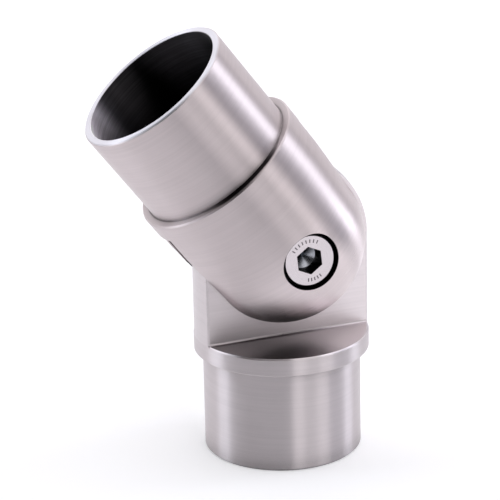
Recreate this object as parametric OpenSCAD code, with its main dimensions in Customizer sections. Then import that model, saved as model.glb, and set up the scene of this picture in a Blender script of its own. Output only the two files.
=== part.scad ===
// Pivoting handrail connector: a fork half turns on a tongue half about one clamping screw.
// Z runs up the lower spigot, the screw lies along Y with its head towards -Y, bends go along X.

/* [Handrail tube] */
// Outside diameter of the tube, which both bodies match
tube_d = 42.4; // [41:0.1:50.8]
// Wall of the tube
tube_wall = 2; // [1.5:0.1:3]
// Gap all round between a spigot and the inside of the tube
spigot_gap = 0.1; // [0.05:0.05:0.4]

/* [Spigots] */
// Length of the lower spigot
lower_spigot_len = 25; // [15:1:60]
// Length of the upper spigot
upper_spigot_len = 25; // [15:1:60]
// Wall of both spigots
spigot_wall = 1.8; // [1.2:0.1:3]
// Chamfer at the open end of both spigots
spigot_chamfer = 0.4; // [0.2:0.1:0.8]
// Metal left between the hollow of a spigot and the knuckle
floor_t = 3.5; // [2:0.5:4]

/* [Knuckle] */
// Bend of the upper half from straight as it stands
bend = 37; // [0:1:90]
// Thickness of the tongue
tongue_t = 10; // [6:0.5:14]
// Gap between the tongue and each ear of the fork
tongue_gap = 0.05; // [0.03:0.01:0.1]
// Height of the lower ring, from the shoulder to the ledge beside the tongue
ring_h = 4.5; // [4:0.5:12]
// Room between the rounded ends of the ears and the ledge
ledge_gap = 2.6; // [1:0.1:8]
// How much smaller the rounded ends of the ears are than the body, in radius
dome_inset = 0.8; // [0.8:0.2:1]
// Slope of the ears from their rounded ends out to the body
ear_taper = 3; // [2:0.5:5]
// Metal between the root of the slot and the shoulder of the upper half
bridge_t = 4.9; // [4.5:0.1:12]
// Room between the rounded end of the tongue and the root of the slot
slot_gap = 0.4; // [0.2:0.1:1]
// Radius where the tongue rises from the ledge
root_fillet = 0.6; // [0.3:0.1:1]
// Chamfer on the outer edges of rings, tongue and ears
edge_chamfer = 0.35; // [0.2:0.05:0.6]

/* [Clamping screw] */
// Thread size of the screw
screw_d = 8; // [6:1:10]
// Length of the screw under its head
screw_len = 25; // [20:1:25]
// Diameter of the screw head
head_d = 13; // [11.5:0.5:16]
// Height of the screw head
head_h = 8; // [6:0.5:10]
// Width across the flats of the hex socket
socket_af = 6; // [4:1:8]
// Depth of the hex socket
socket_depth = 4; // [2:0.5:5]
// Turn of the hex socket seen from the head
socket_turn = 8; // [0:1:59]
// Depth of the head below the highest point of the ear
head_sink = 1.9; // [1.7:0.1:3]
// Chamfer round the top of the head
head_chamfer = 0.5; // [0.3:0.1:1]
// Gap all round between the head and its counterbore
head_gap = 0.5; // [0.2:0.1:1]
// Gap all round between the screw and its holes
shank_gap = 0.05; // [0.03:0.01:0.1]
// Depth of the threaded hole past the end of the screw
thread_runout = 1; // [0.5:0.5:1.5]

/* [Lock washer] */
// Thickness of the split washer
washer_t = 2; // [1:0.1:2.5]
// How much smaller the washer is than the screw head, in radius
washer_inset = 0.2; // [0.1:0.1:0.8]
// Width of the split
washer_split = 0.9; // [0.5:0.1:2]
// Slant of the split
washer_slant = 20; // [0:5:30]

/* [Hidden] */
$fn = 128;
// Overshoot that lets a cut leave the solid cleanly
cut = 1;
// Point angle of the drill that made the blind hole
drill_angle = 118;
body_r = tube_d / 2;
spigot_r = body_r - tube_wall - spigot_gap;
hollow_r = spigot_r - spigot_wall;
dome_r = body_r - dome_inset;
taper_length = dome_inset / tan(ear_taper);
ledge_z = lower_spigot_len + ring_h;
pivot_rise = dome_r + ledge_gap;
pivot_z = ledge_z + pivot_rise;
tongue_half = tongue_t / 2;
slot_half = tongue_half + tongue_gap;
slot_root = body_r + slot_gap;
fork_reach = slot_root + bridge_t;
upper_end = fork_reach + upper_spigot_len;
hole_r = screw_d / 2 + shank_gap;
counterbore_r = head_d / 2 + head_gap;
head_top = dome_r - head_sink;
head_seat = head_top - head_h;
washer_seat = head_seat - washer_t;
washer_bore_r = screw_d / 2 + 2 * shank_gap;
washer_r = head_d / 2 - washer_inset;
thread_end = screw_len - head_seat + thread_runout;
tip_chamfer = screw_d / 8;

// Half outline of a spigot and the ring above it, with the spigot's open end at zero
// and a small cone in its root, which keeps the shoulder as wide as the tube's wall
module half_outline(spigot_len, ring) {
    top = spigot_len + ring;
    polygon([
        [0, 0],
        [spigot_r - spigot_chamfer, 0],
        [spigot_r, spigot_chamfer],
        [spigot_r, spigot_len - spigot_gap],
        [spigot_r + spigot_gap, spigot_len],
        [body_r - edge_chamfer, spigot_len],
        [body_r, spigot_len + edge_chamfer],
        [body_r, top],
        [0, top]
    ]);
}

// Hollow of a spigot, with its mouth at zero and a chamfer round the mouth
module hollow(depth) {
    translate([0, 0, -cut])
        cylinder(r = hollow_r, h = depth + cut);
    translate([0, 0, -spigot_chamfer / 2])
        cylinder(r1 = hollow_r + spigot_chamfer, r2 = hollow_r, h = spigot_chamfer);
}

// Section that takes the sharp corner off a face at height h where it meets a round of radius r
module corner_section(r, h, inward) {
    corner_r = sqrt(r ^ 2 - h ^ 2);
    side = h + inward * edge_chamfer;
    polygon([
        [corner_r - edge_chamfer, h],
        [corner_r - edge_chamfer, h - inward * cut],
        [body_r + cut, h - inward * cut],
        [body_r + cut, side],
        [sqrt(r ^ 2 - side ^ 2), side]
    ]);
}

// Chamfer along both faces of a slice of the knuckle, up its straight edges and round its end
module slice_chamfer(end_r, h, inward, straight) {
    for (face = [0, 1])
        mirror([0, face, 0]) {
            for (edge = [0, 1])
                mirror([edge, 0, 0])
                    linear_extrude(height = straight)
                        corner_section(body_r, h, inward);
            rotate([90, 0, 180])
                rotate_extrude(angle = 180)
                    corner_section(end_r, h, inward);
        }
}

// Round rod along Y, from one depth to another
module rod_y(r, from, to) {
    translate([0, from, 0])
        rotate([-90, 0, 0])
            cylinder(r = r, h = to - from);
}

// Concave strips that blend the two faces of the tongue into the ledge
module tongue_root() {
    intersection() {
        for (face = [0, 1])
            mirror([0, face, 0])
                translate([-body_r, tongue_half, ledge_z])
                    rotate([90, 0, 90])
                        linear_extrude(height = 2 * body_r)
                            difference() {
                                translate([-cut, -cut])
                                    square(root_fillet + cut);
                                translate([root_fillet, root_fillet])
                                    circle(r = root_fillet);
                            }
        cylinder(r = body_r - edge_chamfer, h = pivot_z);
    }
}

// Flat tongue with straight sides and an end rounded about the pivot
module tongue() {
    difference() {
        intersection() {
            union() {
                translate([0, 0, ledge_z - cut])
                    cylinder(r = body_r, h = pivot_rise + cut);
                translate([0, 0, pivot_z])
                    sphere(r = body_r);
            }
            translate([-body_r - cut, -tongue_half, ledge_z - cut])
                cube([2 * (body_r + cut), tongue_t, pivot_rise + body_r + 2 * cut]);
        }
        translate([0, 0, pivot_z])
            rotate([180, 0, 0])
                slice_chamfer(body_r, tongue_half, -1, pivot_rise);
    }
}

// Lower half: hollow spigot, ring and tongue in one piece
module lower_half() {
    color("silver")
        difference() {
            union() {
                difference() {
                    rotate_extrude()
                        half_outline(lower_spigot_len, ring_h);
                    translate([0, 0, ledge_z])
                        rotate_extrude()
                            polygon([
                                [body_r - edge_chamfer, 0],
                                [body_r, -edge_chamfer],
                                [body_r + cut, -edge_chamfer],
                                [body_r + cut, cut],
                                [body_r - edge_chamfer, cut]
                            ]);
                }
                tongue();
                tongue_root();
            }
            hollow(ledge_z - floor_t);
            translate([0, 0, pivot_z])
                rod_y(hole_r, -tongue_half - cut, tongue_half + cut);
        }
}

// Counterbore, through hole and blind threaded hole for the screw
module screw_holes() {
    rod_y(counterbore_r, -body_r - cut, -washer_seat);
    rod_y(hole_r, -washer_seat - cut, thread_end);
    translate([0, thread_end, 0])
        rotate([-90, 0, 0])
            cylinder(r1 = hole_r, r2 = 0, h = hole_r / tan(drill_angle / 2));
}

// Upper half about the pivot, as it is when the connector is straight
module fork() {
    difference() {
        union() {
            sphere(r = dome_r);
            cylinder(r1 = dome_r, r2 = body_r, h = taper_length);
            translate([0, 0, upper_end])
                mirror([0, 0, 1])
                    rotate_extrude()
                        half_outline(upper_spigot_len, fork_reach - taper_length);
        }
        translate([-body_r - cut, -slot_half, -body_r - cut])
            cube([2 * (body_r + cut), 2 * slot_half, slot_root + body_r + cut]);
        slice_chamfer(dome_r, slot_half, 1, slot_root);
        translate([0, 0, upper_end])
            mirror([0, 0, 1])
                hollow(upper_end - slot_root - floor_t);
        screw_holes();
    }
}

// Put a piece of the upper half where the pivot and the bend leave it
module at_pivot() {
    translate([0, 0, pivot_z])
        rotate([0, -bend, 0])
            children();
}

// Upper half: hollow spigot, ring and a fork of two domed ears in one piece
module upper_half() {
    color("silver")
        at_pivot()
            fork();
}

// Split spring washer under the screw head
module lock_washer() {
    color("gray")
        at_pivot()
            difference() {
                rod_y(washer_r, -head_seat, -washer_seat);
                rod_y(washer_bore_r, -head_seat - cut, -washer_seat + cut);
                translate([0, -head_seat + washer_t / 2, washer_r])
                    rotate([0, 0, washer_slant])
                        cube([washer_split, 3 * washer_t, 2 * (washer_r - washer_bore_r + cut)], center = true);
            }
}

// Half outline of the screw from its tip at zero to the top of its head
module screw_outline() {
    polygon([
        [0, 0],
        [screw_d / 2 - tip_chamfer, 0],
        [screw_d / 2, tip_chamfer],
        [screw_d / 2, screw_len],
        [head_d / 2, screw_len],
        [head_d / 2, screw_len + head_h - head_chamfer],
        [head_d / 2 - head_chamfer, screw_len + head_h],
        [0, screw_len + head_h]
    ]);
}

// Hex socket with the cone its drill leaves, opening upwards at zero
module hex_socket() {
    socket_r = socket_af / 2 / cos(30);
    translate([0, 0, -socket_depth])
        cylinder(r = socket_r, h = socket_depth + cut, $fn = 6);
    translate([0, 0, -socket_depth - socket_af / 2 / tan(drill_angle / 2)])
        cylinder(r1 = 0, r2 = socket_af / 2, h = socket_af / 2 / tan(drill_angle / 2));
}

// Socket head screw that clamps the ears on the tongue and carries the pivot
module pivot_screw() {
    color("lightgray")
        at_pivot()
            translate([0, screw_len - head_seat, 0])
                rotate([90, 0, 0])
                    difference() {
                        rotate_extrude()
                            screw_outline();
                        translate([0, 0, screw_len + head_h])
                            rotate([0, 0, 90 + bend - socket_turn])
                                hex_socket();
                    }
}

lower_half();
upper_half();
lock_washer();
pivot_screw();
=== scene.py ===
"""Looks of the pivoting handrail connector: two satin steel halves, a socket screw, its washer."""
import math

import bmesh
import bpy
from mathutils import Matrix, Vector


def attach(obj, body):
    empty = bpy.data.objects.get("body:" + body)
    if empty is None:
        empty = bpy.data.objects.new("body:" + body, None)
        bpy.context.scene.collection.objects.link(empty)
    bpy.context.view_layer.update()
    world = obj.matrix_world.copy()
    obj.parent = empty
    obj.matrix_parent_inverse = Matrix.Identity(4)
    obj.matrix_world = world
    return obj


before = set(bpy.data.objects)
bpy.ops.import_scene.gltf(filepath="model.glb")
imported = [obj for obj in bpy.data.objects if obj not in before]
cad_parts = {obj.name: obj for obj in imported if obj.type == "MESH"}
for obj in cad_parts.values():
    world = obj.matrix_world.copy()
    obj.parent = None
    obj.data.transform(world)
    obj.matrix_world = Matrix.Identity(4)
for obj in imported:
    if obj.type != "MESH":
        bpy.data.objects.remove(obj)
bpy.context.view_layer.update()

MM = 0.001

# Sizes of the part, as its solids have them
PIVOT_HEIGHT = 52.5 * MM
BEND = math.radians(37)
TONGUE_HALF = 5 * MM
SLOT_HALF = 5.05 * MM
SLOT_ROOT = 21.6 * MM
SPIGOT_RADIUS = 19.1 * MM
LEDGE_HEIGHT = 29.5 * MM
LOWER_SHOULDER = 25.0 * MM
UPPER_SHOULDER = 26.5 * MM
UPPER_MOUTH = 51.5 * MM
HOLLOW_FLOOR = 26.0 * MM
HOLLOW_RADIUS = 17.3 * MM
COUNTERBORE_RADIUS = 7.0 * MM
HEAD_TOP = 18.5 * MM
SOCKET_RADIUS = 3.47 * MM

# The half rings that fill the shallow grooves in the faces of the tongue
RING_STEPS = 180
RING_INNER = 20.10 * MM
RING_OUTER = 22.35 * MM
RING_EDGE = 20.256 * MM
RING_FACE = 5.006 * MM
RING_BACK = 4.66 * MM
RING_CHAMFER = 0.42 * MM
LEAST_ACROSS = 0.001

# Dashes on the screw head. An arc is first angle, last angle, how many
MARK_ARCS = [(66, 146, 8), (-94, -56, 5)]
MARK_REACH = 4.75 * MM
MARK_LENGTH = 0.85 * MM
MARK_WIDTH = 0.27 * MM
MARK_DEPTH = 0.06 * MM
MARK_RISE = 0.012 * MM
BOX_CORNERS = ((-1, -1), (1, -1), (1, 1), (-1, 1))
BOX_FACES = ((0, 1, 2, 3), (7, 6, 5, 4), (0, 4, 5, 1), (1, 5, 6, 2), (2, 6, 7, 3), (3, 7, 4, 0))

# Colours of the bare steels, and of painted light and shade on them
LOWER_COLOUR = (0.622, 0.573, 0.586)
UPPER_COLOUR = (0.630, 0.562, 0.570)
# The hollow's colour: the tube's darker inside, with painted shade on it
HOLLOW_COLOUR = (0.125, 0.116, 0.128)
# Painted highlight along the cut end of the spigot
RIM_HIGHLIGHT_COLOUR = (0.740, 0.730, 0.780)
# Painted shade in the counterbore, and on the socket and sides of the screw head
RECESS_SHADE_COLOUR = (0.020, 0.018, 0.020)
# Painted shade and painted dark reflection in the root of the shoulders
ROOT_SHADE_COLOUR = (0.015, 0.012, 0.013)
# Painted light on the floor of the screw's socket, painted shade at its point
SOCKET_FLOOR_LIT_COLOUR = (0.400, 0.410, 0.450)
SOCKET_POINT_SHADE_COLOUR = (0.060, 0.070, 0.090)
SCREW_COLOUR = (0.640, 0.590, 0.610)
MARK_COLOUR = (0.130, 0.115, 0.125)
WASHER_COLOUR = (0.420, 0.400, 0.410)
FLOOR_COLOUR = (0.80, 0.80, 0.81)

# Where a surface begins or ends: a mask rises or falls between these two
SIDE_FACING = (0.97, 0.995)
LEVEL_FACING = (0.5, 0.7)
SLOT_EDGE = (SLOT_HALF + 0.1 * MM, SLOT_HALF + 0.3 * MM)
TONGUE_EDGE = (TONGUE_HALF + 0.1 * MM, TONGUE_HALF + 0.3 * MM)
HOLLOW_EDGE = (HOLLOW_RADIUS + 0.03 * MM, HOLLOW_RADIUS + 0.12 * MM)
UPPER_HOLLOW = (SLOT_ROOT + 1.5 * MM, SLOT_ROOT + 2.0 * MM)
LOWER_HOLLOW = (HOLLOW_FLOOR + 0.5 * MM, HOLLOW_FLOOR + 1.5 * MM)
RIM_DEPTH = (0.02 * MM, 0.40 * MM)
COUNTERBORE_EDGE = (COUNTERBORE_RADIUS + 0.02 * MM, COUNTERBORE_RADIUS + 0.08 * MM)
COUNTERBORE_SIDE = (-SLOT_HALF, 0.0)
UPPER_TURNED = (-9.0 * MM, 12.0 * MM)
LOWER_TURNED = (LEDGE_HEIGHT - 0.3 * MM, LEDGE_HEIGHT - 0.1 * MM)
# Low, high and softness of a band of heights
LEDGE_BAND = (LEDGE_HEIGHT - 0.06 * MM, LEDGE_HEIGHT + 0.3 * MM, 0.03 * MM)

# Noises: scale, detail, roughness
FINE_NOISE = (1.0, 3.0, 0.6)
BROAD_NOISE = (1.0, 2.0, 0.5)
LINE_NOISE = (1.0, 3.0, 0.7)
CLOUD_NOISE = (90.0, 3.0, 0.6)
SCREW_CLOUD_NOISE = (260.0, 3.0, 0.6)
# Grains: noise cells in a metre, twice along the surface and once across the grain
TURNED_GRAIN = (120.0, 120.0, 9000.0)
MILLED_GRAIN = (90.0, 90.0, 8000.0)
HOLLOW_GRAIN = (40.0, 40.0, 2600.0)
SCREW_GRAIN = (200.0, 200.0, 9000.0)
BROAD_GRAIN_SCALE = 0.22

# How much of the steel's colour each part of the satin halves shows
FINE_TONE, BROAD_TONE, CLOUD_TONE, LEAST_TONE = 0.06, 0.14, 0.10, 0.85
LINE_EDGE = (0.35, 0.65)
LINE_TONE, LEAST_LINE_TONE = 0.36, 0.82
# Painted light on the round ends of the upper half
EAR_END = (-4.0 * MM, 10.0 * MM)
EAR_END_PAINTED_LIGHT = 1.14
# Painted shade that deepens into the hollow
HOLLOW_DEPTH = (1.0 * MM, 18.0 * MM)
HOLLOW_DEPTH_TONE = (1.0, 0.10)
# Painted light on the hollow's left wall, painted shade beyond it
HOLLOW_SIDE = (-17.3 * MM, -9.0 * MM)
HOLLOW_SIDE_TONE = (8.0, 0.40)

# Darkening in corners and gaps: how far it reaches, and the darkest tone
SKY_EDGE = (0.25, 0.80)
UPPER_SKY = (16.0 * MM, 0.20)
LOWER_SKY = (11.0 * MM, 0.45)
# Painted reflection: the tongue's faces and the ledge grow brighter from left to right
WALL_SIDE = (-22.0 * MM, 22.0 * MM)
WALL_TONE = (0.50, 0.82)
WALL_SKY_SHARE = 0.40
LEDGE_SIDE = (-14.0 * MM, 12.0 * MM)
LEDGE_TONE = (0.40, 1.10)
LEDGE_SKY_SHARE = 0.50

# Painted shade in the root of the shoulders, with a painted dark reflection thickest towards the
# side given below
ROOT_SHADE_BELOW, ROOT_SHADE_ABOVE, ROOT_SHADE_SOFT = 0.25 * MM, 0.12 * MM, 0.04 * MM
ROOT_SHADE_SIDE = (0.07, -0.998, 0.0)
ROOT_SHADE_THICK = (0.74, 0.97)
ROOT_SHADE_WIDTH, ROOT_SHADE_MORE = 0.5 * MM, 1.6 * MM
ROOT_SHADE_FULL = 0.6
ROOT_SHADE_CLOUD = (0.30, 0.70)
ROOT_SHADE_CLOUD_TONE = (0.45, 1.0)
ROOT_SHADE_THIN_SHARE = 0.65

# Roughness and bump of the satin halves
POLISHED_ROUGHNESS = 0.23
TURNED_ROUGHNESS = 0.33
MILLED_ROUGHNESS = 0.34
LEDGE_ROUGHNESS = 0.20
FINE_ROUGHNESS, CLOUD_ROUGHNESS, HOLLOW_ROUGHNESS = 0.06, 0.05, 0.05
MILLED_EVENNESS = 0.6
SATIN_BUMP = 0.0012 * MM
FINE_BUMP, COARSE_BUMP = 0.6, 0.4
GRAIN_ROTATION = 0.25

# Screw, washer and dashes
SCREW_FINE_TONE, SCREW_CLOUD_TONE, SCREW_LEAST_TONE = 0.06, 0.08, 0.93
SCREW_FINE_ROUGHNESS = 0.08
SCREW_ANISOTROPY = 0.4
WASHER_ROUGHNESS, WASHER_BUMP = 0.35, 0.006 * MM
SCREW_ROUGHNESS, SCREW_BUMP = 0.24, 0.003 * MM
MARK_ROUGHNESS, MARK_BUMP = 0.45, 0.002 * MM
SOCKET_EDGE = (SOCKET_RADIUS, SOCKET_RADIUS + 0.1 * MM)
HEAD_EDGE = (HEAD_TOP - 0.3 * MM, HEAD_TOP - 0.1 * MM)
SOCKET_POINT = (0.4 * MM, 2.4 * MM)
# Painted shade on the sloping and upright faces of the screw head
SLOPING = (0.75, 0.82)
SLOPING_SHADE = 0.75
UPRIGHT = (0.40, 0.50)

# Floor
FLOOR_SIZE = 6.0
FLOOR_SEEN = 0.33
FLOOR_MIRRORED = 0.30

# The studio round the object. Angles in degrees: 0 is the front, 90 the +X side, height above level
STUDIO = [
    # name, from and to angle, soft side, from and to height, soft side, brightness
    ("left_low", -190, -104, 5, -90, 10, 5, (0.30, 0.30, 0.31)),
    ("left_wall", -190, -104, 5, 12, 60, 6, (1.40, 1.38, 1.42)),
    ("left_softbox", -126, -103, 4, -90, 60, 6, (2.20, 2.32, 2.50)),
    ("dark_room", -103, -6, 4, -90, 62, 8, (0.0, 0.0, 0.0)),
    ("front_panel", -6, 48, 3, -90, 62, 8, (1.52, 1.49, 1.50)),
    ("front_top", 33, 50, 3, 27, 64, 6, (0.60, 0.58, 0.60)),
    ("camera_side", 9, 28, 3, 5, 28, 5, (0.15, 0.15, 0.15)),
    ("right_gap", 48, 78, 3, -90, 18, 6, (0.02, 0.03, 0.08)),
    ("right_wall", 76, 104, 4, 18, 34, 5, (0.60, 0.62, 0.70)),
    ("right_curtain", 48, 76, 3, 14, 36, 6, (0.14, 0.15, 0.22)),
    ("right_lamp", 46, 104, 5, 38, 64, 6, (2.30, 2.32, 2.46)),
    ("right_strip", 78, 95, 2, -2, 36, 6, (2.55, 2.66, 2.92)),
    ("right_low", 100, 190, 3, -12, 12, 6, (0.40, 0.40, 0.45)),
    ("right_floor", 84, 112, 4, -90, -14, 6, (0.60, 0.60, 0.66)),
    ("back_wall", 112, 190, 6, 12, 45, 8, (1.30, 1.28, 1.32)),
]
STUDIO_BASE = (0.92, 0.90, 0.92)

# The photograph's view, as fitted to its outlines
CAMERA_TURN = math.radians(-21.0)
CAMERA_HEIGHT = math.radians(19.785)
CAMERA_ROLL = math.radians(-1.279)
CAMERA_DISTANCE = 546.28 * MM
CAMERA_TARGET = Vector((-8.0 * MM, 0.0, 45.0 * MM))
PHOTO_PIXELS = 500.0
FOCAL_PIXELS = 2289.96
SHIFT_RIGHT = -1.016
SHIFT_DOWN = 21.417
SENSOR_WIDTH = 36.0
NEAREST = 0.01


class Nodes:
    """Short ways to add and join the nodes of one material or world."""

    def __init__(self, tree):
        self.tree = tree
        tree.nodes.clear()

    def add(self, kind, **settings):
        made = self.tree.nodes.new(kind)
        for name, value in settings.items():
            setattr(made, name, value)
        return made

    def give(self, socket, value):
        if isinstance(value, bpy.types.NodeSocket):
            self.tree.links.new(value, socket)
        elif value is not None:
            socket.default_value = value

    def math(self, operation, a, b=None, c=None, clamp=False):
        made = self.add("ShaderNodeMath", operation=operation, use_clamp=clamp)
        for socket, value in zip(made.inputs, (a, b, c)):
            self.give(socket, value)
        return made.outputs[0]

    def times(self, a, b):
        return self.math("MULTIPLY", a, b)

    def plus(self, a, b):
        return self.math("ADD", a, b)

    def vector(self, operation, a, b=None, scale=None):
        made = self.add("ShaderNodeVectorMath", operation=operation)
        self.give(made.inputs[0], a)
        self.give(made.inputs[1], b)
        if scale is not None:
            self.give(made.inputs["Scale"], scale)
        is_number = operation in ("LENGTH", "DOT_PRODUCT")
        return made.outputs["Value"] if is_number else made.outputs[0]

    def split(self, vector):
        made = self.add("ShaderNodeSeparateXYZ")
        self.give(made.inputs[0], vector)
        return made.outputs

    def combine(self, x, y, z):
        made = self.add("ShaderNodeCombineXYZ")
        for socket, value in zip(made.inputs, (x, y, z)):
            self.give(socket, value)
        return made.outputs[0]

    def stretch(self, values, scales):
        """Three numbers as a vector, each times its own scale."""
        x, y, z = (self.times(value, scale) for value, scale in zip(values, scales))
        return self.combine(x, y, z)

    def step(self, value, low, high, start=0.0, end=1.0):
        """A smooth rise from start to end while value goes from low to high."""
        made = self.add("ShaderNodeMapRange", interpolation_type="SMOOTHSTEP")
        self.give(made.inputs["Value"], value)
        self.give(made.inputs["From Min"], low)
        self.give(made.inputs["From Max"], high)
        self.give(made.inputs["To Min"], start)
        self.give(made.inputs["To Max"], end)
        return made.outputs[0]

    def fall(self, value, low, high, start=1.0):
        """A smooth fall from start to 0 while value goes from low to high."""
        return self.step(value, low, high, start, 0.0)

    def band(self, value, low, high, soft):
        """1 while value is between low and high, with soft sides."""
        rise = self.step(value, low - soft, low + soft)
        fall = self.fall(value, high - soft, high + soft)
        return self.times(rise, fall)

    def colour(self, rgb):
        made = self.add("ShaderNodeRGB")
        made.outputs[0].default_value = rgb + (1.0,)
        return made.outputs[0]

    def mix(self, share, a, b):
        """Colour a where share is 0 and b where it is 1."""
        made = self.add("ShaderNodeMix", data_type="RGBA")
        for socket, value in ((made.inputs[0], share), (made.inputs[6], a), (made.inputs[7], b)):
            if isinstance(value, tuple) and len(value) == 3:
                value = value + (1.0,)
            self.give(socket, value)
        return made.outputs[2]

    def mix_number(self, share, a, b):
        """Number a where share is 0 and b where it is 1."""
        made = self.add("ShaderNodeMix", data_type="FLOAT")
        self.give(made.inputs[0], share)
        self.give(made.inputs[2], a)
        self.give(made.inputs[3], b)
        return made.outputs[0]

    def mix_vector(self, share, a, b):
        """Vector a where share is 0 and b where it is 1."""
        made = self.add("ShaderNodeMix", data_type="VECTOR")
        self.give(made.inputs[0], share)
        self.give(made.inputs[4], a)
        self.give(made.inputs[5], b)
        return made.outputs[1]

    def noise(self, vector, scale, detail=2.0, roughness=0.5):
        made = self.add("ShaderNodeTexNoise")
        self.give(made.inputs["Vector"], vector)
        self.give(made.inputs["Scale"], scale)
        self.give(made.inputs["Detail"], detail)
        self.give(made.inputs["Roughness"], roughness)
        return made.outputs["Fac"]

    def open_sky(self, distance, darkest):
        """1 on open faces, down to darkest deep in a corner or gap."""
        made = self.add("ShaderNodeAmbientOcclusion", samples=8)
        self.give(made.inputs["Distance"], distance)
        return self.step(made.outputs["AO"], *SKY_EDGE, darkest, 1.0)

    def turn_y(self, vector, angle):
        """The vector turned about the pivot's direction."""
        made = self.add("ShaderNodeVectorRotate", rotation_type="Y_AXIS")
        self.give(made.inputs["Vector"], vector)
        self.give(made.inputs["Angle"], angle)
        return made.outputs[0]

    def to_world(self, vector):
        made = self.add("ShaderNodeVectorTransform", vector_type="VECTOR",
                        convert_from="OBJECT", convert_to="WORLD")
        self.give(made.inputs[0], vector)
        return made.outputs[0]


def new_material(name):
    material = bpy.data.materials.new(name)
    material.use_nodes = True
    return material, Nodes(material.node_tree)


def grain_bump(n, fine, coarse):
    """Height of the brushed surface."""
    return n.plus(n.times(fine, FINE_BUMP), n.times(coarse, COARSE_BUMP))


def steel_shader(n, colour, roughness, anisotropy, tangent, bump_height, bump_size):
    """Bare steel whose highlight is drawn out across its grain."""
    shader = n.add("ShaderNodeBsdfPrincipled")
    shader.inputs["Metallic"].default_value = 1.0
    shader.inputs["Anisotropic Rotation"].default_value = GRAIN_ROTATION
    n.give(shader.inputs["Base Color"], colour)
    n.give(shader.inputs["Roughness"], roughness)
    n.give(shader.inputs["Anisotropic"], anisotropy)
    n.give(shader.inputs["Tangent"], tangent)
    bump = n.add("ShaderNodeBump")
    n.give(bump.inputs["Height"], bump_height)
    bump.inputs["Strength"].default_value = 1.0
    bump.inputs["Distance"].default_value = bump_size
    n.give(shader.inputs["Normal"], bump.outputs[0])
    output = n.add("ShaderNodeOutputMaterial")
    n.give(output.inputs["Surface"], shader.outputs[0])


class Half:
    """Where a point lies on one half. Its z runs along the half's axis, y along the pivot."""

    def __init__(self, n, bend, base, shoulder, mouth, outward):
        coordinates = n.add("ShaderNodeTexCoord")
        place = n.vector("SUBTRACT", coordinates.outputs["Object"], (0.0, 0.0, base))
        facing = n.turn_y(coordinates.outputs["Normal"], bend)
        self.bend = bend
        self.shoulder = shoulder
        self.in_part = coordinates.outputs["Object"]
        self.place = n.turn_y(place, bend)
        self.x, self.y, self.z = n.split(self.place)[:3]
        self.radius = n.vector("LENGTH", n.combine(self.x, self.y, 0.0))
        self.side = n.math("ABSOLUTE", n.split(facing)[1])
        self.depth = n.math("ABSOLUTE", self.y)
        # How far in from the open end of the spigot
        self.depth_in = n.math("SUBTRACT", mouth, n.times(self.z, outward))


class Grain:
    """The brushing: round the axis on turned faces, straight across on milled ones."""

    def __init__(self, n, half, milled):
        around = n.vector("NORMALIZE", n.combine(n.times(half.y, -1.0), half.x, 0.0))
        way = n.mix_vector(milled, around, (1.0, 0.0, 0.0))
        self.tangent = n.to_world(n.turn_y(way, -half.bend))
        turned = n.stretch((half.x, half.y, n.plus(half.z, half.radius)), TURNED_GRAIN)
        straight = n.stretch((half.x, half.y, half.z), MILLED_GRAIN)
        place = n.mix_vector(milled, turned, straight)
        self.fine = n.noise(place, *FINE_NOISE)
        self.broad = n.noise(n.vector("SCALE", place, scale=BROAD_GRAIN_SCALE), *BROAD_NOISE)
        self.cloud = n.noise(half.place, *CLOUD_NOISE)


def milled_sides(n, half):
    """1 on the flat faces of the tongue and of the slot."""
    sideways = n.step(half.side, *SIDE_FACING)
    return n.times(sideways, n.fall(half.depth, *SLOT_EDGE))


def ledge_top(n, half):
    """1 on the level ledge at both sides of the tongue."""
    level = n.times(n.band(half.z, *LEDGE_BAND), n.fall(half.side, *LEVEL_FACING))
    return n.times(level, n.step(half.depth, *TONGUE_EDGE))


def hollow_wall(n, half, beyond):
    """1 on the wall and floor of the hollow spigot."""
    return n.times(n.fall(half.radius, *HOLLOW_EDGE), beyond)


def counterbore_wall(n, half):
    """1 in the counterbore of the front ear, round the screw head, where shade is painted."""
    from_pivot = n.vector("SUBTRACT", half.in_part, (0.0, 0.0, PIVOT_HEIGHT))
    x, _, z = n.split(from_pivot)[:3]
    reach = n.vector("LENGTH", n.combine(x, 0.0, z))
    inside = n.fall(reach, *COUNTERBORE_EDGE)
    return n.times(inside, n.fall(half.y, *COUNTERBORE_SIDE))


def shoulder_root_shade(n, half, cloud):
    """1 where shade is painted in the root of the shoulder, in an uneven line and a wide crescent
    of painted dark reflection.
    """
    low, high = half.shoulder - ROOT_SHADE_BELOW, half.shoulder + ROOT_SHADE_ABOVE
    level = n.band(half.z, low, high, ROOT_SHADE_SOFT)
    outward = n.vector("NORMALIZE", n.combine(half.x, half.y, 0.0))
    crescent = n.step(n.vector("DOT_PRODUCT", outward, ROOT_SHADE_SIDE), *ROOT_SHADE_THICK)
    width = n.plus(ROOT_SHADE_WIDTH, n.times(crescent, ROOT_SHADE_MORE))
    from_root = n.math("SUBTRACT", half.radius, SPIGOT_RADIUS)
    root = n.fall(from_root, n.times(width, ROOT_SHADE_FULL), width)
    uneven = n.times(n.step(cloud, *ROOT_SHADE_CLOUD, *ROOT_SHADE_CLOUD_TONE), ROOT_SHADE_THIN_SHARE)
    uneven = n.math("MAXIMUM", uneven, crescent)
    return n.times(n.times(level, root), uneven)


def satin_colour(n, half, hollow, steel_colour):
    """The steel, with a painted highlight on the cut end of the spigot and a dark hollow with
    painted shade.
    """
    # Painted highlight along the cut end of the spigot
    rim = n.fall(half.depth_in, *RIM_DEPTH)
    colour = n.mix(rim, steel_colour, RIM_HIGHLIGHT_COLOUR)
    # Painted shade in the hollow
    return n.mix(hollow, colour, HOLLOW_COLOUR)


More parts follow.
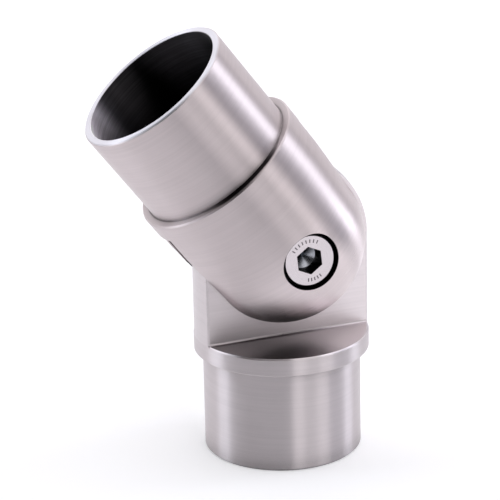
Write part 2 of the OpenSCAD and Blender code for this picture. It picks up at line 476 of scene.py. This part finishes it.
def satin_tone(n, half, hollow, grain):
    """Lighter and darker lines of the grain, and open turning lines in the hollow."""
    tone = n.plus(n.times(grain.fine, FINE_TONE), n.times(grain.broad, BROAD_TONE))
    tone = n.plus(tone, n.times(grain.cloud, CLOUD_TONE))
    tone = n.plus(tone, LEAST_TONE)
    pitch = n.stretch((half.x, half.y, half.z), HOLLOW_GRAIN)
    lines = n.step(n.noise(pitch, *LINE_NOISE), *LINE_EDGE)
    return n.mix_number(hollow, tone, n.plus(LEAST_LINE_TONE, n.times(lines, LINE_TONE)))


def lower_sky(n, half, wall, ledge):
    """Painted shade of the lower half in its corners, with a painted reflection that brightens its
    milled faces and ledge from left to right.
    """
    sky = n.open_sky(*LOWER_SKY)
    # Painted reflection across the tongue's faces
    painted_wall_reflection = n.step(half.x, *WALL_SIDE, *WALL_TONE)
    sky = n.mix_number(wall, sky, n.plus(painted_wall_reflection, n.times(sky, WALL_SKY_SHARE)))
    # Painted reflection across the ledge
    painted_ledge_reflection = n.step(half.x, *LEDGE_SIDE, *LEDGE_TONE)
    ledge_sky = n.plus(1.0 - LEDGE_SKY_SHARE, n.times(sky, LEDGE_SKY_SHARE))
    return n.mix_number(ledge, sky, n.times(painted_ledge_reflection, ledge_sky))


def hollow_shade(n, half, hollow, tone):
    """Painted shade that grows darker with depth in the hollow, and painted light on its left wall.
    """
    deep = n.step(half.depth_in, *HOLLOW_DEPTH, *HOLLOW_DEPTH_TONE)
    lit_left_wall = n.step(half.x, *HOLLOW_SIDE, *HOLLOW_SIDE_TONE)
    return n.mix_number(hollow, tone, n.times(tone, n.times(deep, lit_left_wall)))


def satin_roughness(n, turned, milled):
    """Polished ears, rougher turned faces, and the roughest where it is milled."""
    turned = n.times(turned, n.math("SUBTRACT", 1.0, milled))
    roughness = n.mix_number(turned, POLISHED_ROUGHNESS, TURNED_ROUGHNESS)
    return n.mix_number(milled, roughness, MILLED_ROUGHNESS)


def satin_shader(n, grain, milled, hollow, colour, tone, roughness):
    """Joins colour, roughness and bump, with the grain's own share in each."""
    toned = n.vector("SCALE", colour, scale=tone)
    roughness = n.plus(roughness, n.times(grain.fine, FINE_ROUGHNESS))
    roughness = n.plus(roughness, n.times(grain.cloud, CLOUD_ROUGHNESS))
    roughness = n.mix_number(hollow, roughness, n.plus(roughness, HOLLOW_ROUGHNESS))
    bump = grain_bump(n, grain.fine, grain.broad)
    drawn_out = n.math("SUBTRACT", 1.0, n.times(milled, MILLED_EVENNESS))
    steel_shader(n, toned, roughness, drawn_out, grain.tangent, bump, SATIN_BUMP)


def satin_lower():
    """The lower half: turned spigot and ring, milled ledge and tongue."""
    material, n = new_material("satin_lower")
    half = Half(n, 0.0, 0.0, LOWER_SHOULDER, 0.0, -1.0)
    wall = milled_sides(n, half)
    ledge = ledge_top(n, half)
    milled = n.math("MAXIMUM", wall, ledge)
    hollow = hollow_wall(n, half, n.fall(half.z, *LOWER_HOLLOW))
    grain = Grain(n, half, milled)
    colour = satin_colour(n, half, hollow, LOWER_COLOUR)
    # Painted shade and painted dark reflection in the root of the shoulder
    colour = n.mix(shoulder_root_shade(n, half, grain.cloud), colour, ROOT_SHADE_COLOUR)
    tone = satin_tone(n, half, hollow, grain)
    tone = n.times(tone, lower_sky(n, half, wall, ledge))
    tone = hollow_shade(n, half, hollow, tone)
    roughness = satin_roughness(n, n.fall(half.z, *LOWER_TURNED), milled)
    roughness = n.mix_number(ledge, roughness, LEDGE_ROUGHNESS)
    satin_shader(n, grain, milled, hollow, colour, tone, roughness)
    return material


def satin_upper():
    """The upper half: turned body, round ends with painted light, a counterbore with painted shade.
    """
    material, n = new_material("satin_upper")
    half = Half(n, BEND, PIVOT_HEIGHT, UPPER_SHOULDER, UPPER_MOUTH, 1.0)
    milled = milled_sides(n, half)
    hollow = hollow_wall(n, half, n.step(half.z, *UPPER_HOLLOW))
    grain = Grain(n, half, milled)
    colour = satin_colour(n, half, hollow, UPPER_COLOUR)
    # Painted shade in the counterbore
    colour = n.mix(counterbore_wall(n, half), colour, RECESS_SHADE_COLOUR)
    # Painted shade and painted dark reflection in the root of the shoulder
    colour = n.mix(shoulder_root_shade(n, half, grain.cloud), colour, ROOT_SHADE_COLOUR)
    tone = satin_tone(n, half, hollow, grain)
    # Painted light on the round ends
    tone = n.times(tone, n.step(half.z, *EAR_END, EAR_END_PAINTED_LIGHT, 1.0))
    tone = n.times(tone, n.open_sky(*UPPER_SKY))
    tone = hollow_shade(n, half, hollow, tone)
    roughness = satin_roughness(n, n.step(half.z, *UPPER_TURNED), milled)
    satin_shader(n, grain, milled, hollow, colour, tone, roughness)
    return material


def shaded_head_sides(n, facing, y, radius, shade):
    """Only the top of the screw head is bright: painted shade on its socket walls and sides, and a
    painted lit floor in the socket round a dark point.
    """
    inside = n.fall(radius, *SOCKET_EDGE)
    below = n.fall(n.math("ABSOLUTE", y), *HEAD_EDGE)
    bottom = n.mix(n.step(radius, *SOCKET_POINT), SOCKET_POINT_SHADE_COLOUR, SOCKET_FLOOR_LIT_COLOUR)
    shade = n.mix(n.times(inside, below), shade, bottom)
    shade = n.mix(n.fall(facing, *SLOPING, SLOPING_SHADE), shade, RECESS_SHADE_COLOUR)
    return n.mix(n.fall(facing, *UPRIGHT), shade, RECESS_SHADE_COLOUR)


def round_steel(name, colour, roughness, bump_size, has_socket=False):
    """Steel of the screw, its dashes or the washer, with its grain round the pivot axis."""
    material, n = new_material(name)
    coordinates = n.add("ShaderNodeTexCoord")
    place = n.vector("SUBTRACT", coordinates.outputs["Object"], (0.0, 0.0, PIVOT_HEIGHT))
    x, y, z = n.split(place)[:3]
    radius = n.vector("LENGTH", n.combine(x, 0.0, z))
    around = n.vector("NORMALIZE", n.combine(z, 0.0, n.times(x, -1.0)))
    fine = n.noise(n.stretch((x, z, n.plus(y, radius)), SCREW_GRAIN), *FINE_NOISE)
    cloud = n.noise(place, *SCREW_CLOUD_NOISE)
    tone = n.plus(n.times(fine, SCREW_FINE_TONE), n.times(cloud, SCREW_CLOUD_TONE))
    tone = n.plus(tone, SCREW_LEAST_TONE)
    shade = n.colour(colour)
    if has_socket:
        facing = n.math("ABSOLUTE", n.split(coordinates.outputs["Normal"])[1])
        # Painted shade on the socket and sides of the screw head
        shade = shaded_head_sides(n, facing, y, radius, shade)
    toned = n.vector("SCALE", shade, scale=tone)
    rough = n.plus(roughness, n.times(fine, SCREW_FINE_ROUGHNESS))
    bump = grain_bump(n, fine, cloud)
    steel_shader(n, toned, rough, SCREW_ANISOTROPY, n.to_world(around), bump, bump_size)
    return material


def add_mesh(name, corners, faces, material):
    """A new object with these corners, faces and material."""
    mesh = bpy.data.meshes.new(name)
    mesh.from_pydata(corners, [], faces)
    mesh.materials.append(material)
    made = bpy.data.objects.new(name, mesh)
    bpy.context.scene.collection.objects.link(made)
    return made


def turn_faces_outward(mesh):
    shape = bmesh.new()
    shape.from_mesh(mesh)
    bmesh.ops.recalc_face_normals(shape, faces=shape.faces)
    shape.to_mesh(mesh)
    shape.free()


def ring_section(across, down):
    """Four corners of the half ring's section, at one angle below the pivot."""
    reach = min(RING_OUTER, RING_EDGE / max(abs(across), LEAST_ACROSS))
    # Where the ring ends at the tongue's own edge, it has the chamfer of that edge
    slope = RING_CHAMFER if reach < RING_OUTER else 0.0
    back_x = reach * across + math.copysign(slope, across)
    return ((RING_INNER * across, RING_FACE, RING_INNER * down),
            (reach * across, RING_FACE, reach * down),
            (back_x, RING_BACK, reach * down),
            (RING_INNER * across, RING_BACK, RING_INNER * down))


def tongue_ring(material):
    """Half rings that lie flush in both faces of the tongue, below the pivot."""
    corners, faces = [], []
    for front in (-1, 1):
        first = len(corners)
        last = first + 4 * RING_STEPS
        for number in range(RING_STEPS + 1):
            angle = math.pi * number / RING_STEPS
            for x, y, z in ring_section(math.cos(angle), math.sin(angle)):
                corners.append((x, front * y, PIVOT_HEIGHT - z))
        for low in range(first, last, 4):
            high = low + 4
            for here, there in ((0, 1), (1, 2), (2, 3), (3, 0)):
                faces.append((low + here, low + there, high + there, high + here))
        faces.append((first + 3, first + 2, first + 1, first))
        faces.append((last, last + 1, last + 2, last + 3))
    ring = add_mesh("tongue_ring", corners, faces, material)
    turn_faces_outward(ring.data)
    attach(ring, "lower")


def dash_corners(angle):
    """Eight corners of one dash, which points away from the pivot."""
    outward = Vector((math.cos(angle), 0.0, math.sin(angle)))
    sideways = Vector((-math.sin(angle), 0.0, math.cos(angle)))
    middle = Vector((0.0, 0.0, PIVOT_HEIGHT)) + outward * MARK_REACH
    corners = []
    for level in (-HEAD_TOP - MARK_RISE, -HEAD_TOP + MARK_DEPTH):
        for along, aside in BOX_CORNERS:
            corner = middle + outward * (along * MARK_LENGTH / 2)
            corner = corner + sideways * (aside * MARK_WIDTH / 2)
            corners.append((corner.x, level, corner.z))
    return corners


def head_marks():
    """Two arcs of plain short dashes on the top of the screw head."""
    corners, faces = [], []
    for first, last, count in MARK_ARCS:
        for number in range(count):
            angle = math.radians(first + (last - first) * number / (count - 1))
            start = len(corners)
            corners += dash_corners(angle)
            faces += [[start + corner for corner in face] for face in BOX_FACES]
    steel = round_steel("mark_steel", MARK_COLOUR, MARK_ROUGHNESS, MARK_BUMP)
    marks = add_mesh("head_marks", corners, faces, steel)
    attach(marks, "screw")


def floor():
    """A plain pale floor that fills the view and keeps the shadow."""
    bpy.ops.mesh.primitive_plane_add(size=FLOOR_SIZE, location=(0.0, 0.0, 0.0))
    plane = bpy.context.object
    plane.name = "floor"
    material, n = new_material("pale_floor")
    diffuse = n.add("ShaderNodeBsdfDiffuse")
    diffuse.inputs["Color"].default_value = FLOOR_COLOUR + (1.0,)
    lift = n.add("ShaderNodeEmission")
    path = n.add("ShaderNodeLightPath")
    seen = n.times(path.outputs["Is Camera Ray"], FLOOR_SEEN)
    mirrored = n.times(path.outputs["Is Glossy Ray"], FLOOR_MIRRORED)
    n.give(lift.inputs["Strength"], n.plus(seen, mirrored))
    both = n.add("ShaderNodeAddShader")
    n.give(both.inputs[0], diffuse.outputs[0])
    n.give(both.inputs[1], lift.outputs[0])
    output = n.add("ShaderNodeOutputMaterial")
    n.give(output.inputs["Surface"], both.outputs[0])
    plane.data.materials.append(material)


def studio():
    """Soft light from all sides, with brighter and darker panels that the steel reflects."""
    world = bpy.data.worlds.new("studio")
    bpy.context.scene.world = world
    world.use_nodes = True
    n = Nodes(world.node_tree)
    coordinates = n.add("ShaderNodeTexCoord")
    x, y, z = n.split(coordinates.outputs["Generated"])[:3]
    turn = n.times(n.math("ARCTAN2", x, n.times(y, -1.0)), 180.0 / math.pi)
    height = n.times(n.math("ARCSINE", z), 180.0 / math.pi)
    light = n.colour(STUDIO_BASE)
    for _, low, high, soft, bottom, top, edge, brightness in STUDIO:
        panel = n.times(n.band(turn, low, high, soft), n.band(height, bottom, top, edge))
        light = n.mix(panel, light, brightness)
    path = n.add("ShaderNodeLightPath")
    light = n.mix(path.outputs["Is Camera Ray"], light, (1.0, 1.0, 1.0))
    background = n.add("ShaderNodeBackground")
    n.give(background.inputs["Color"], light)
    background.inputs["Strength"].default_value = 1.0
    output = n.add("ShaderNodeOutputWorld")
    n.give(output.inputs["Surface"], background.outputs[0])


def camera():
    """The photograph's view."""
    level = math.cos(CAMERA_HEIGHT)
    back = Vector((math.sin(CAMERA_TURN) * level, -math.cos(CAMERA_TURN) * level,
                   math.sin(CAMERA_HEIGHT)))
    right = (-back).cross(Vector((0.0, 0.0, 1.0))).normalized()
    up = right.cross(-back)
    rolled_right = right * math.cos(CAMERA_ROLL) + up * math.sin(CAMERA_ROLL)
    rolled_up = up * math.cos(CAMERA_ROLL) - right * math.sin(CAMERA_ROLL)
    data = bpy.data.cameras.new("camera")
    made = bpy.data.objects.new("camera", data)
    bpy.context.scene.collection.objects.link(made)
    turned = Matrix((rolled_right, rolled_up, back)).transposed().to_4x4()
    made.matrix_world = Matrix.Translation(CAMERA_TARGET + back * CAMERA_DISTANCE) @ turned
    data.sensor_width = SENSOR_WIDTH
    data.lens = FOCAL_PIXELS / PHOTO_PIXELS * SENSOR_WIDTH
    data.shift_x = -SHIFT_RIGHT / PHOTO_PIXELS
    data.shift_y = SHIFT_DOWN / PHOTO_PIXELS
    data.clip_start = NEAREST
    bpy.context.scene.camera = made


def finish_cad_node(name, material):
    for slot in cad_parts[name].material_slots:
        slot.material = material


SATIN_LOWER = satin_lower()
SATIN_UPPER = satin_upper()
WASHER_STEEL = round_steel("washer_steel", WASHER_COLOUR, WASHER_ROUGHNESS, WASHER_BUMP)
SCREW_STEEL = round_steel("screw_steel", SCREW_COLOUR, SCREW_ROUGHNESS, SCREW_BUMP, True)
finish_cad_node("lower_half", SATIN_LOWER)
finish_cad_node("upper_half", SATIN_UPPER)
finish_cad_node("lock_washer", WASHER_STEEL)
finish_cad_node("pivot_screw", SCREW_STEEL)
tongue_ring(SATIN_LOWER)
head_marks()
floor()
studio()
camera()
bpy.context.scene.view_settings.view_transform = "Standard"
